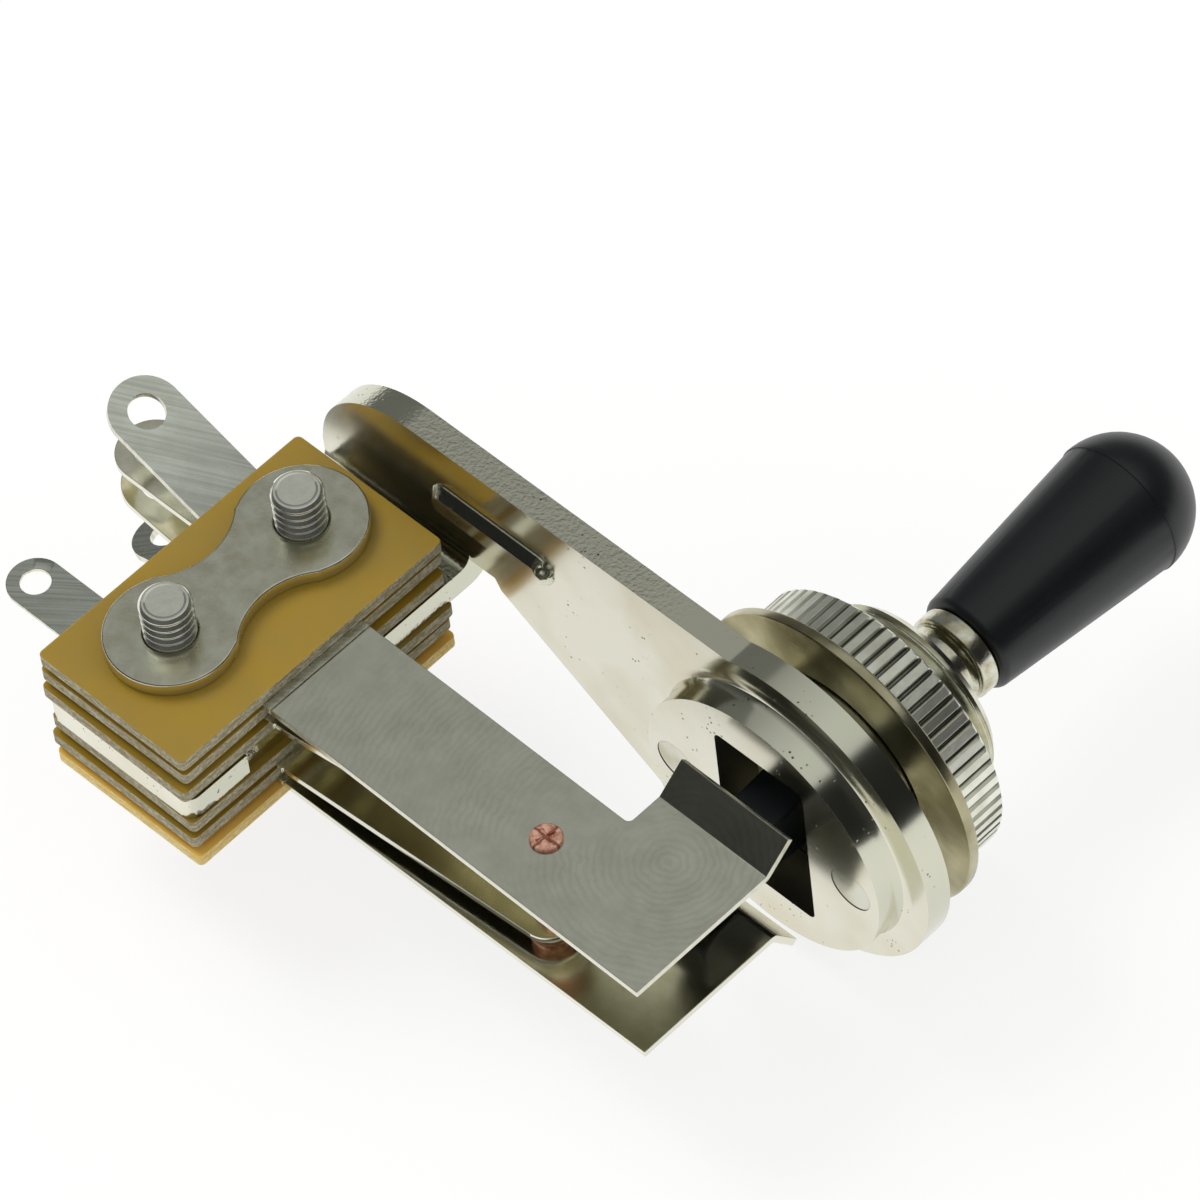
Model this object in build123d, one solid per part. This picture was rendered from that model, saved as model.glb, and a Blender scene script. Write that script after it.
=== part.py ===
from build123d import *
import os
from math import atan, atan2, cos, degrees, pi, radians, sin, sqrt, tan

# All sizes are millimetres and degrees. X runs along the contact blades, Y is the axis of the
# bushing and the lever with the lever outside at +Y, and Z runs through the layers of the stack.
# While it is drawn, Y = 0 is the face of the frame plate that meets the panel. The export moves
# everything back by ORIGIN_Y, so the origin ends up in the free end of the bushing's thread.
ORIGIN_Y = 7.1

# How far a cutting tool reaches past the piece that it cuts, and how near an edge counts as found
CUT_REACH = 30.0
FIND_WITHIN = 0.01

# Bushing, washer and nut
BUSHING_R = 5.95
BUSHING_WALL = 1.45
BUSHING_END_Y = 8.55
BUSHING_END_CHAMFER = 0.45
BUSHING_PLAIN_L = 2.28
BUSHING_THREAD_DEPTH = 0.42
FLANGE_REACH = 1.65
POST_INSET = 1.2
POST_R = 1.4
STAKE_MARK_W = 0.16
STAKE_MARK_DEPTH = 0.12
WASHER_PLAY = 0.2
WASHER_REACH = 3.72
WASHER_T = 0.68
WASHER_EDGE = 0.08
NUT_WALL = 2.67
NUT_Y = 2.96
NUT_H = 3.16
NUT_CHAMFER = 0.3
NUT_BORE_CHAMFER = 0.5
NUT_EDGE_SPARE = 0.1
KNURL_COUNT = 62
KNURL_DEPTH = 0.34
KNURL_GROOVE_SHARE = 0.42

# Frame plate, its round head and the boss pressed out of it
PLATE_T = 1.69
PLATE_TOP_DROP = 0.6
PLATE_END_X = -34.9
PLATE_END_STRAIGHT = 0.95
HEAD_MARGIN = 1.83
HEAD_BLEND_ANGLE = 250.0
ARM_LOW_X = -21.4
ARM_LOW_Z = 0.36
ARM_KNEE_X = -8.98
ARM_KNEE_Z = -7.69
ARM_KNEE_R = 6.0
NOTCH_X = -21.8
NOTCH_Z = 1.15
BOSS_WALL = 0.87
BOSS_H = 1.85
BOSS_FOOT_R = 0.7
BOSS_FOOT_SINK = 0.2
BOSS_FOOT_SHARE = 0.3
RECESS_DEPTH = 0.69
SLOT_W = 6.45
SLOT_END_WALL = 2.87
SLOT_CENTRE_X = 0.125
SLOT_CORNER_R = 0.45

# Stiffening bead on the arm of the plate
BEAD_X1 = -24.9
BEAD_Z1 = 5.4
BEAD_X2 = -17.95
BEAD_Z2 = 5.35
BEAD_R = 1.12
BEAD_H = 0.6
BEAD_FLANK_SHARE = 0.85
BEAD_PIT_R = 0.5
BEAD_PIT_OUT = 0.55

# Tongue bent out of the plate, which carries the stack
TONGUE_X1 = PLATE_END_X
TONGUE_X2 = -23.7
TONGUE_END_Y = -23.19
TONGUE_BEND_R = 0.8
TONGUE_CORNER_R = 0.8
TONGUE_NOTCH_Y1 = -18.8
TONGUE_NOTCH_Y2 = -8.4
TONGUE_NOTCH_DEPTH = 0.35

# Stack of insulating sheets and blade roots
SHEET_L = 11.2
SHEET_W = 19.8
SHEET_T = 0.8
SHEET_CENTRE_X = -29.5
SHEET_CENTRE_Y = -13.19
SHEET_CORNER_R = 0.35
SHEET_DRIFT_X = 0.5
SHEET_DRIFT_Y = -0.35
SHEET_JITTER = 0.12
SHEET_JITTER_STEP = 2.4
SHEET_TWIST = 0.5
SHEET_TWIST_STEP = 1.7
SHEET_COUNT = 6
BLADE_T = 0.45
GROUND_T = 0.25
ROOT_SETBACK = 1.33
ROOT_SIDE_SETBACK = 0.6
ROOT_FRONT_GAP = 0.07
RELIEF_DEPTH = 0.6

# Screws that clamp the stack
SCREW_X = -30.09
SCREW_EDGE_1 = 5.44
SCREW_EDGE_2 = 4.42
SCREW_R = 1.5
SCREW_END_Z = 7.9
SCREW_END_CHAMFER = 0.2
SCREW_PITCH = 0.56
SCREW_THREAD_DEPTH = 0.2
SCREW_HEAD_R = 2.8
SCREW_HEAD_H = 1.9
SCREW_CROWN_SHARE = 0.55
SCREW_SHOULDER_SHARE = 0.86
SCREW_SLOT_W = 0.8
SCREW_SLOT_DEPTH = 0.9
SLEEVE_R = 2.3
SLEEVE_BORE_R = 1.6
SLEEVE_SETBACK = 0.05
CLAMP_T = 0.95
CLAMP_LOBE_R = 3.75
CLAMP_WAIST_W = 4.2
CLAMP_BAR_INSET = 0.4

# Blades
HINGE_OUT = 0.8
BLADE_END_X = 4.08
BLADE_Y1 = -17.09
BLADE_Y2 = -9.59
BLADE_FRONT_Z = 2.75
FOOT_X = -3.75
FOOT_Y = -7.2
FOOT_CORNER_R = 0.35
FOOT_LAP = 1.0
UPPER_TAB_RUN = 2.45
UPPER_TAB_ANGLE = 40.0
LOWER_TAB_RUN = 2.3
LOWER_TAB_ANGLE = 52.0
TAB_BEND_R = 0.6
INNER_SIDE_SETBACK = 0.1
INNER_START_L = 0.6
INNER_END_Z = 1.6
INNER_END_R = 1.75
UPPER_CONTACT_X = -6.3
UPPER_CONTACT_Y = -13.24
LOWER_CONTACT_X = -5.4
LOWER_CONTACT_Y = -14.4

# Solder lugs
LUG_W = 4.35
LUG_Y = -8.29
LUG_BEND_OUT = 0.3
LUG_REACH = 6.15
LUG_ROOT_LAP = 0.17
LUG_HOLE_R = 1.08
UPPER_OUTER_LUG_ANGLE = 20.2
LOWER_OUTER_LUG_ANGLE = 20.0
LOWER_INNER_LUG_ANGLE = 10.0
GROUND_LUG_W = 3.3
GROUND_LUG_Y = -18.29
GROUND_REACH = 5.34
GROUND_HOLE_R = 0.88
GROUND_RING_R = 3.3

# Contact rivets
CONTACT_HEAD_R = 1.2
CONTACT_CROWN_SHARE = 0.35
CONTACT_SHANK_R = 0.6
CONTACT_TAIL_R = 0.93
CONTACT_TAIL_H = 0.2
CONTACT_TAIL_EDGE = 0.07
CONTACT_GAP = 0.05
CONTACT_CROSS_L = 1.2
CONTACT_CROSS_W = 0.22
CONTACT_CROSS_TURN = 20.0

# Lever, its pivot pin, the actuator block and the tip
PIN_R = 0.8
PIN_END_INSET = 0.45
PIN_EDGE = 0.15
RUN_CLEARANCE = 0.05
FIT_CLEARANCE = 0.03
STAKE_CLEARANCE = 0.01
LEVER_R = 2.0
LEVER_BARREL_R = 3.0
LEVER_BARREL_L = 2.1
BARREL_FRONT_INSET = 0.4
BARREL_EDGE = 0.5
BARREL_CONE_L = 1.0
COLLAR_R = 2.7
COLLAR_Y = 10.91
COLLAR_H = 1.25
COLLAR_FOOT = 0.3
COLLAR_EDGE = 0.15
STUD_R = 1.5
STUD_END_Y = 20.5
TANG_W = 1.2
TANG_H = 2.2
TANG_END_Y = -9.0
ACTUATOR_W = 3.0
ACTUATOR_REAR_Y = -0.95
ACTUATOR_REAR_H = 4.3
ACTUATOR_FACE_H = 3.72
ACTUATOR_NECK_H = 2.5
ACTUATOR_WAIST_R = 0.8
ACTUATOR_EDGE_R = 0.2
ACTUATOR_HEAD_Y = -8.09
ACTUATOR_HEAD_R = 2.45
ACTUATOR_FRONT_Y = -10.1
TIP_BASE_R = 3.05
TIP_BASE_EDGE_R = 0.5
TIP_R = 4.23
TIP_SEAM_Y = 24.48
TIP_SEAM_STEP = 0.06
TIP_BORE_SPARE = 0.2

# Levels that follow from the sizes above
BUSHING_BORE_R = BUSHING_R - BUSHING_WALL
THREAD_PITCH_R = BUSHING_R - BUSHING_THREAD_DEPTH / 2
FLANGE_R = BUSHING_R + FLANGE_REACH
POST_X = FLANGE_R - POST_INSET
WASHER_BORE_R = BUSHING_R + WASHER_PLAY
WASHER_R = BUSHING_R + WASHER_REACH
NUT_R = BUSHING_R + NUT_WALL
BOSS_R = FLANGE_R + BOSS_WALL
HEAD_R = BOSS_R + HEAD_MARGIN
PLATE_TOP_Z = HEAD_R - PLATE_TOP_DROP
PLATE_END_R = PLATE_TOP_Z - NOTCH_Z - PLATE_END_STRAIGHT
SLOT_H = 2 * (BOSS_R - SLOT_END_WALL)
PIN_L = 2 * (BUSHING_R - PIN_END_INSET)
BOSS_Y = -PLATE_T - BOSS_H
PIVOT_Y = -RECESS_DEPTH + RUN_CLEARANCE + PIN_R
TONGUE_Z = PLATE_T / 2
UPPER_INNER_Z = TONGUE_Z + GROUND_T + SHEET_T + BLADE_T / 2
UPPER_OUTER_Z = UPPER_INNER_Z + SHEET_T + BLADE_T
LOWER_INNER_Z = -(TONGUE_Z + SHEET_T + BLADE_T / 2)
LOWER_OUTER_Z = LOWER_INNER_Z - SHEET_T - BLADE_T
STACK_TOP_Z = UPPER_OUTER_Z + BLADE_T / 2 + SHEET_T
STACK_LOW_Z = LOWER_OUTER_Z - BLADE_T / 2 - SHEET_T
SCREW_Y1 = SHEET_CENTRE_Y - SHEET_W / 2 + SCREW_EDGE_1
SCREW_Y2 = SHEET_CENTRE_Y + SHEET_W / 2 - SCREW_EDGE_2
SCREW_YS = [SCREW_Y1, SCREW_Y2]
SHEET_BACK_X = SHEET_CENTRE_X - SHEET_L / 2
SHEET_FRONT_X = SHEET_CENTRE_X + SHEET_L / 2
HINGE_X = SHEET_FRONT_X + HINGE_OUT
ROOT_BACK_X = SHEET_BACK_X + ROOT_SETBACK
ROOT_W = SHEET_W - 2 * ROOT_SIDE_SETBACK
LUG_BEND_X = SHEET_BACK_X - LUG_BEND_OUT


def turned(points):
    """Solid of revolution about Y from (radius, y) points."""
    outline = make_face(Polyline(points, close=True))
    return revolve(outline, Axis.Y)


def rod_y(radius, y1, y2, x=0.0, z=0.0):
    """Round rod along Y."""
    return Pos(x, (y1 + y2) / 2, z) * Rot(90, 0, 0) * Cylinder(radius, y2 - y1)


def rod_z(radius, x, y, z1, z2):
    """Round rod along Z."""
    return Pos(x, y, (z1 + z2) / 2) * Cylinder(radius, z2 - z1)


def plate_outline():
    """Outline of the flat frame plate, drawn in X and Z."""
    blend = radians(HEAD_BLEND_ANGLE)
    end_x = PLATE_END_X + PLATE_END_R
    end_z = PLATE_TOP_Z - PLATE_END_R
    arm = make_face(Polyline([
        (end_x, PLATE_TOP_Z),
        (-sqrt(HEAD_R ** 2 - PLATE_TOP_Z ** 2), PLATE_TOP_Z),
        (0, 0),
        (HEAD_R * cos(blend), HEAD_R * sin(blend)),
        (ARM_KNEE_X, ARM_KNEE_Z),
        (ARM_LOW_X, ARM_LOW_Z),
        (NOTCH_X, NOTCH_Z),
        (TONGUE_X1, NOTCH_Z),
        (TONGUE_X1, end_z),
        (end_x, end_z),
    ], close=True))
    knee = [v for v in arm.vertices() if abs(v.X - ARM_KNEE_X) < FIND_WITHIN]
    arm = fillet(knee, ARM_KNEE_R)
    end = Pos(end_x, end_z) * Circle(PLATE_END_R)
    head = Circle(HEAD_R)
    lower_half = Pos(end_x, end_z - PLATE_END_R) * Rectangle(4 * PLATE_END_R, 2 * PLATE_END_R)
    return head + arm + (end - lower_half)


def make_frame():
    """Stamped frame: plate, boss, stiffening bead and the tongue for the stack."""
    plate = extrude(Plane.XZ * plate_outline(), PLATE_T)
    boss = rod_y(BOSS_R, BOSS_Y, -PLATE_T / 2)
    foot = turned([
        (BOSS_R - BOSS_FOOT_SINK, -PLATE_T / 2),
        (BOSS_R + BOSS_FOOT_R, -PLATE_T / 2),
        (BOSS_R + BOSS_FOOT_R, -PLATE_T),
        (BOSS_R + BOSS_FOOT_R * BOSS_FOOT_SHARE, -PLATE_T - BOSS_FOOT_R * BOSS_FOOT_SHARE),
        (BOSS_R, -PLATE_T - BOSS_FOOT_R),
        (BOSS_R - BOSS_FOOT_SINK, -PLATE_T - BOSS_FOOT_R),
    ])
    body = plate + boss + foot

    bend_top_z = NOTCH_Z + PLATE_T
    section = make_face(Polyline([
        (TONGUE_END_Y, -TONGUE_Z),
        (0, -TONGUE_Z),
        (0, bend_top_z),
        (-PLATE_T, bend_top_z),
        (-PLATE_T, TONGUE_Z),
        (TONGUE_END_Y, TONGUE_Z),
    ], close=True))
    outer = [v for v in section.vertices() if abs(v.X) < FIND_WITHIN and v.Y < 0]
    section = fillet(outer, NOTCH_Z + TONGUE_Z - RUN_CLEARANCE)
    inner = [v for v in section.vertices()
             if abs(v.X + PLATE_T) < FIND_WITHIN and abs(v.Y - TONGUE_Z) < FIND_WITHIN]
    section = fillet(inner, TONGUE_BEND_R)
    tongue = Pos(TONGUE_X1, 0, 0) * extrude(Plane.YZ * section, TONGUE_X2 - TONGUE_X1)
    corners = tongue.edges().filter_by(Axis.Z).group_by(Axis.Y)[0]
    tongue = fillet(corners, TONGUE_CORNER_R)
    body = body + tongue

    notch_mid_y = (TONGUE_NOTCH_Y1 + TONGUE_NOTCH_Y2) / 2
    notch = Pos(TONGUE_X2, notch_mid_y, 0) * Box(
        2 * TONGUE_NOTCH_DEPTH, TONGUE_NOTCH_Y2 - TONGUE_NOTCH_Y1, 2 * PLATE_T)
    body = body - notch
    for y in SCREW_YS:
        body = body - rod_z(SLEEVE_R + FIT_CLEARANCE, SCREW_X, y, -PLATE_T, PLATE_T)

    slot = Pos(SLOT_CENTRE_X, BOSS_Y, 0) * Box(SLOT_W, 4 * PLATE_T, SLOT_H)
    slot = fillet(slot.edges().filter_by(Axis.Y), SLOT_CORNER_R)
    recess = rod_y(FLANGE_R + FIT_CLEARANCE, -RECESS_DEPTH, PLATE_T)
    body = body - slot - recess
    for side in (-1, 1):
        body = body - rod_y(POST_R + STAKE_CLEARANCE, BOSS_Y - CUT_REACH, 0, side * POST_X)
    return body + make_bead()


def make_bead():
    """Pressed stadium bead on the plate, with the sunk pit at its lower end."""
    length = sqrt((BEAD_X2 - BEAD_X1) ** 2 + (BEAD_Z2 - BEAD_Z1) ** 2)
    slope = degrees(atan2(BEAD_Z2 - BEAD_Z1, BEAD_X2 - BEAD_X1))
    outline = SlotCenterToCenter(length, 2 * BEAD_R)
    bead = extrude(Plane.XZ * outline, BEAD_H)
    bead = chamfer(bead.edges().group_by(Axis.Y)[0], BEAD_H * BEAD_FLANK_SHARE)
    pit = Pos(length / 2 + BEAD_PIT_OUT, -BEAD_H / 2, BEAD_PIT_OUT) * Sphere(BEAD_PIT_R)
    bead = bead - pit
    middle = Pos((BEAD_X1 + BEAD_X2) / 2, -PLATE_T, (BEAD_Z1 + BEAD_Z2) / 2)
    return middle * Rot(0, -slope, 0) * bead


def make_bushing():
    """Sleeve with a flange, two staked posts and the cross groove for the pin.

    Its thread is a plain cylinder: at the pitch size under the nut, at the crests beyond it.
    """
    points = [
        (BUSHING_BORE_R, -RECESS_DEPTH + FIT_CLEARANCE),
        (FLANGE_R, -RECESS_DEPTH + FIT_CLEARANCE),
        (FLANGE_R, 0),
        (BUSHING_R, 0),
        (BUSHING_R, BUSHING_PLAIN_L),
        (THREAD_PITCH_R, BUSHING_PLAIN_L),
        (THREAD_PITCH_R, NUT_Y + NUT_H),
        (BUSHING_R, NUT_Y + NUT_H),
        (BUSHING_R, BUSHING_END_Y - BUSHING_END_CHAMFER),
        (BUSHING_R - BUSHING_END_CHAMFER, BUSHING_END_Y),
        (BUSHING_BORE_R, BUSHING_END_Y),
    ]
    body = turned(points)
    for side in (-1, 1):
        body = body + rod_y(POST_R, BOSS_Y, -RECESS_DEPTH / 2, side * POST_X)
        body = body - make_stake_mark(side * POST_X)
    groove_r = PIN_R + RUN_CLEARANCE
    groove_l = PIN_L + 4 * RUN_CLEARANCE
    groove = Pos(0, PIVOT_Y, 0) * Rot(0, 90, 0) * Cylinder(groove_r, groove_l)
    groove = groove + Pos(0, PIVOT_Y - PIN_R, 0) * Box(groove_l, 2 * PIN_R, 2 * groove_r)
    return body - groove


def make_stake_mark(x):
    """Thin crescent that the staking punch leaves along the lower edge of a post."""
    mark_y = BOSS_Y + STAKE_MARK_DEPTH
    whole = rod_y(2 * POST_R, BOSS_Y - CUT_REACH, mark_y, x)
    kept = rod_y(POST_R, BOSS_Y - CUT_REACH, mark_y, x + STAKE_MARK_W / 2, STAKE_MARK_W)
    return whole - kept


def make_washer():
    """Flat washer under the nut."""
    ring = rod_y(WASHER_R, NUT_Y - WASHER_T, NUT_Y) - rod_y(WASHER_BORE_R, 0, 2 * NUT_Y)
    return chamfer(ring.edges().filter_by(GeomType.CIRCLE).sort_by(SortBy.RADIUS)[-2:], WASHER_EDGE)


def make_nut():
    """Round nut with a coarse straight knurl."""
    bore_r = THREAD_PITCH_R + FIT_CLEARANCE
    step = 2 * pi / KNURL_COUNT
    points = []
    for i in range(KNURL_COUNT):
        for share, radius in (
            (0.0, NUT_R),
            (1 - KNURL_GROOVE_SHARE, NUT_R),
            (1 - 0.7 * KNURL_GROOVE_SHARE, NUT_R - KNURL_DEPTH),
            (1 - 0.3 * KNURL_GROOVE_SHARE, NUT_R - KNURL_DEPTH),
        ):
            angle = (i + share) * step
            points.append((radius * cos(angle), radius * sin(angle)))
    knurled = Pos(0, NUT_Y + NUT_H, 0) * extrude(
        Plane.XZ * make_face(Polyline(points, close=True)), NUT_H)
    envelope = turned([
        (bore_r, NUT_Y),
        (NUT_R - NUT_CHAMFER, NUT_Y),
        (NUT_R + NUT_EDGE_SPARE, NUT_Y + NUT_CHAMFER),
        (NUT_R + NUT_EDGE_SPARE, NUT_Y + NUT_H - NUT_CHAMFER),
        (NUT_R - NUT_CHAMFER, NUT_Y + NUT_H),
        (bore_r + NUT_BORE_CHAMFER, NUT_Y + NUT_H),
        (bore_r, NUT_Y + NUT_H - NUT_BORE_CHAMFER),
    ])
    return knurled & envelope


def make_pivot_pin():
    """Cross pin that the lever turns on."""
    pin = Pos(0, PIVOT_Y, 0) * Rot(0, 90, 0) * Cylinder(PIN_R, PIN_L)
    return chamfer(pin.edges().filter_by(GeomType.CIRCLE), PIN_EDGE)


def make_lever():
    """Turned lever with a pivot barrel, a collar, a stud for the tip and a flat tang."""
    barrel_y1 = PIVOT_Y - LEVER_BARREL_L / 2 + BARREL_FRONT_INSET
    barrel_y2 = PIVOT_Y + LEVER_BARREL_L / 2
    body = turned([
        (0, barrel_y1),
        (LEVER_BARREL_R - BARREL_EDGE, barrel_y1),
        (LEVER_BARREL_R, barrel_y1 + BARREL_EDGE),
        (LEVER_BARREL_R, barrel_y2),
        (LEVER_R, barrel_y2 + BARREL_CONE_L),
        (LEVER_R, COLLAR_Y - COLLAR_FOOT),
        (LEVER_R + COLLAR_FOOT, COLLAR_Y),
        (COLLAR_R - COLLAR_EDGE, COLLAR_Y),
        (COLLAR_R, COLLAR_Y + COLLAR_EDGE),
        (COLLAR_R, COLLAR_Y + COLLAR_H - COLLAR_EDGE),
        (COLLAR_R - COLLAR_EDGE, COLLAR_Y + COLLAR_H),
        (STUD_R, COLLAR_Y + COLLAR_H),
        (STUD_R, STUD_END_Y),
        (0, STUD_END_Y),
    ])
    tang_y = (TANG_END_Y + PIVOT_Y) / 2
    tang = Pos(0, tang_y, 0) * Box(TANG_W, PIVOT_Y - TANG_END_Y, TANG_H)
    body = body + tang
    hole = Pos(0, PIVOT_Y, 0) * Rot(0, 90, 0) * Cylinder(PIN_R + RUN_CLEARANCE, 4 * LEVER_R)
    return body - hole


def make_actuator():
    """Moulded block on the tang whose round head lies between the feet of the outer blades."""
    neck = make_face(Polyline([
        (ACTUATOR_REAR_Y, ACTUATOR_REAR_H / 2),
        (BOSS_Y, ACTUATOR_FACE_H / 2),
        (ACTUATOR_HEAD_Y, ACTUATOR_NECK_H / 2),
        (ACTUATOR_HEAD_Y, -ACTUATOR_NECK_H / 2),
        (BOSS_Y, -ACTUATOR_FACE_H / 2),
        (ACTUATOR_REAR_Y, -ACTUATOR_REAR_H / 2),
    ], close=True))
    head = Pos(ACTUATOR_HEAD_Y, 0) * Circle(ACTUATOR_HEAD_R)
    cut = Pos(ACTUATOR_FRONT_Y - ACTUATOR_HEAD_R, 0) * Rectangle(
        2 * ACTUATOR_HEAD_R, 3 * ACTUATOR_HEAD_R)
    profile = neck + (head - cut)
    waist = [
        v for v in profile.vertices()
        if ACTUATOR_HEAD_Y < v.X < BOSS_Y - ACTUATOR_WAIST_R and abs(v.Y) < ACTUATOR_HEAD_R
    ]
    profile = fillet(waist, ACTUATOR_WAIST_R)
    block = extrude(Plane.YZ * profile, ACTUATOR_W / 2, both=True)
    sides = block.edges().filter_by(lambda e: abs(abs(e.center().X) - ACTUATOR_W / 2) < FIND_WITHIN)
    block = fillet(sides, ACTUATOR_EDGE_R)
    pocket_l = ACTUATOR_REAR_Y + ACTUATOR_W - TANG_END_Y
    pocket = Pos(0, TANG_END_Y + pocket_l / 2, 0) * Box(TANG_W, pocket_l, TANG_H)
    return block - pocket


def make_lever_tip():
    """Moulded tip: a slow taper that ends in a dome, with a fine step at the mould seam."""
    base_y = COLLAR_Y + COLLAR_H
    edge = TIP_BASE_EDGE_R
    with BuildPart() as tip:
        with BuildSketch(Plane.XY):
            with BuildLine():
                Line((0, base_y), (TIP_BASE_R - edge, base_y))
                TangentArc((TIP_BASE_R - edge, base_y), (TIP_BASE_R, base_y + edge), tangent=(1, 0))
                Line((TIP_BASE_R, base_y + edge), (TIP_R - TIP_SEAM_STEP, TIP_SEAM_Y))
                Line((TIP_R - TIP_SEAM_STEP, TIP_SEAM_Y), (TIP_R, TIP_SEAM_Y))
                TangentArc((TIP_R, TIP_SEAM_Y), (0, TIP_SEAM_Y + TIP_R), tangent=(0, 1))
                Line((0, TIP_SEAM_Y + TIP_R), (0, base_y))
            make_face()
        revolve(axis=Axis.Y)
    return tip.part - rod_y(STUD_R + FIT_CLEARANCE, base_y - STUD_R, STUD_END_Y + TIP_BORE_SPARE)


def sheet_place(index):
    """Place of one insulating sheet: hand stacking leaves each a little off its neighbours."""
    share = index / (SHEET_COUNT - 1)
    dx = SHEET_DRIFT_X * share + SHEET_JITTER * cos(SHEET_JITTER_STEP * index)
    dy = SHEET_DRIFT_Y * share + SHEET_JITTER * sin(SHEET_JITTER_STEP * index)
    twist = SHEET_TWIST * sin(SHEET_TWIST_STEP * index)
    return Pos(SHEET_CENTRE_X + dx, SHEET_CENTRE_Y + dy, 0) * Rot(0, 0, twist)


def make_insulator(index, low_z):
    """One punched sheet of the stack with two holes for the sleeves."""
    sheet = sheet_place(index) * (Pos(0, 0, low_z + SHEET_T / 2) * Box(SHEET_L, SHEET_W, SHEET_T))
    sheet = fillet(sheet.edges().filter_by(Axis.Z), SHEET_CORNER_R)
    for y in SCREW_YS:
        sheet = sheet - rod_z(SLEEVE_R + FIT_CLEARANCE, SCREW_X, y, -CUT_REACH, CUT_REACH)
    return sheet


def blade_root(z, thickness=BLADE_T):
    """The part of a blade that is clamped in the stack, with the holes for the sleeves."""
    front_x = HINGE_X - ROOT_FRONT_GAP
    mid_x = (ROOT_BACK_X + front_x) / 2
    root = Pos(mid_x, SHEET_CENTRE_Y, z) * Box(front_x - ROOT_BACK_X, ROOT_W, thickness)
    for y in SCREW_YS:
        root = root - rod_z(SLEEVE_R + FIT_CLEARANCE, SCREW_X, y, -CUT_REACH, CUT_REACH)
    # Only the blade's own width comes out at the front of the stack.
    relief_x = SHEET_FRONT_X - RELIEF_DEPTH + CUT_REACH / 2
    for edge_y, outwards in ((BLADE_Y2, 1), (BLADE_Y1, -1)):
        relief_y = edge_y + outwards * CUT_REACH / 2
        root = root - Pos(relief_x, relief_y, z) * Box(CUT_REACH, CUT_REACH, CUT_REACH)
    return root


def solder_lug(z, angle, width=LUG_W, y=LUG_Y, reach=LUG_REACH, hole_r=LUG_HOLE_R, thickness=BLADE_T):
    """Flat strip with a round, pierced end, bent by an angle where it leaves the stack."""
    flat_end = ROOT_BACK_X + LUG_ROOT_LAP
    run = reach / cos(radians(angle))
    strip = Pos(-run / 2, 0, 0) * Box(run, width, thickness)
    strip = strip + Pos(-run, 0, 0) * Cylinder(width / 2, thickness)
    strip = strip - Pos(-run, 0, 0) * Cylinder(hole_r, CUT_REACH)
    bend = Rot(90, 0, 0) * Cylinder(thickness / 2, width)
    lug = Rot(0, angle, 0) * strip + bend
    flat = Pos((flat_end - LUG_BEND_X) / 2, 0, 0) * Box(flat_end - LUG_BEND_X, width, thickness)
    return Pos(LUG_BEND_X, y, z) * (lug + flat)


def outer_slope(z):
    """Angle by which an outer leaf leans towards the centre plane."""
    return degrees(atan((z - BLADE_FRONT_Z) / (BLADE_END_X - HINGE_X)))


def inner_slope(z, side):
    """Angle by which an inner leaf leans towards the centre plane."""
    contact_x = contact_spot(side)[0]
    return degrees(atan((z - INNER_END_Z) / (contact_x - HINGE_X)))


def make_outer_leaf(z, side, tab_run, tab_angle):
    """Long L-shaped leaf whose foot carries the flared tab that the actuator works on."""
    length = BLADE_END_X - HINGE_X
    foot_l = BLADE_END_X - FOOT_X
    half = BLADE_T / 2
    strip = Pos(length / 2, (BLADE_Y1 + BLADE_Y2) / 2, 0) * Box(length, BLADE_Y2 - BLADE_Y1, BLADE_T)
    edge = Pos(0, (BLADE_Y1 + BLADE_Y2) / 2, 0) * Rot(90, 0, 0) * Cylinder(half, BLADE_Y2 - BLADE_Y1)
    bend = radians(tab_angle)
    mitre = half * tan(bend / 2)
    end_y = FOOT_Y + tab_run * cos(bend)
    end_z = tab_run * sin(bend)
    profile = make_face(Polyline([
        (BLADE_Y2 - FOOT_LAP, -half),
        (FOOT_Y + mitre, -half),
        (end_y + half * sin(bend), end_z - half * cos(bend)),
        (end_y - half * sin(bend), end_z + half * cos(bend)),
        (FOOT_Y - mitre, half),
        (BLADE_Y2 - FOOT_LAP, half),
    ], close=True))
    outer = [v for v in profile.vertices() if abs(v.X - FOOT_Y - mitre) < FIND_WITHIN]
    profile = fillet(outer, TAB_BEND_R)
    foot = Pos(length - foot_l, 0, 0) * extrude(Plane.YZ * profile, foot_l)
    leaf = strip + edge + foot
    corner = leaf.edges().filter_by(Axis.Z).filter_by(
        lambda e: abs(e.center().X - (length - foot_l)) < FIND_WITHIN
        and abs(e.center().Y - BLADE_Y2) < FIND_WITHIN)
    leaf = fillet(corner, FOOT_CORNER_R)
    if side < 0:
        leaf = mirror(leaf, Plane.XY)
    leaf = Pos(HINGE_X, 0, side * z) * Rot(0, side * outer_slope(z), 0) * leaf
    contact_x, contact_y = contact_spot(side)
    return leaf - rod_z(CONTACT_SHANK_R + FIT_CLEARANCE, contact_x, contact_y, -CUT_REACH, CUT_REACH)


def make_outer_lug(z, side, angle):
    """Clamped end of an outer blade with its solder lug and the seat that the leaf bends in."""
    body = blade_root(side * z) + solder_lug(side * z, side * angle)
    seat = Pos(HINGE_X, SHEET_CENTRE_Y, side * z) * Rot(90, 0, 0) * Cylinder(
        BLADE_T / 2 + FIT_CLEARANCE, SHEET_W)
    return body - seat


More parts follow.
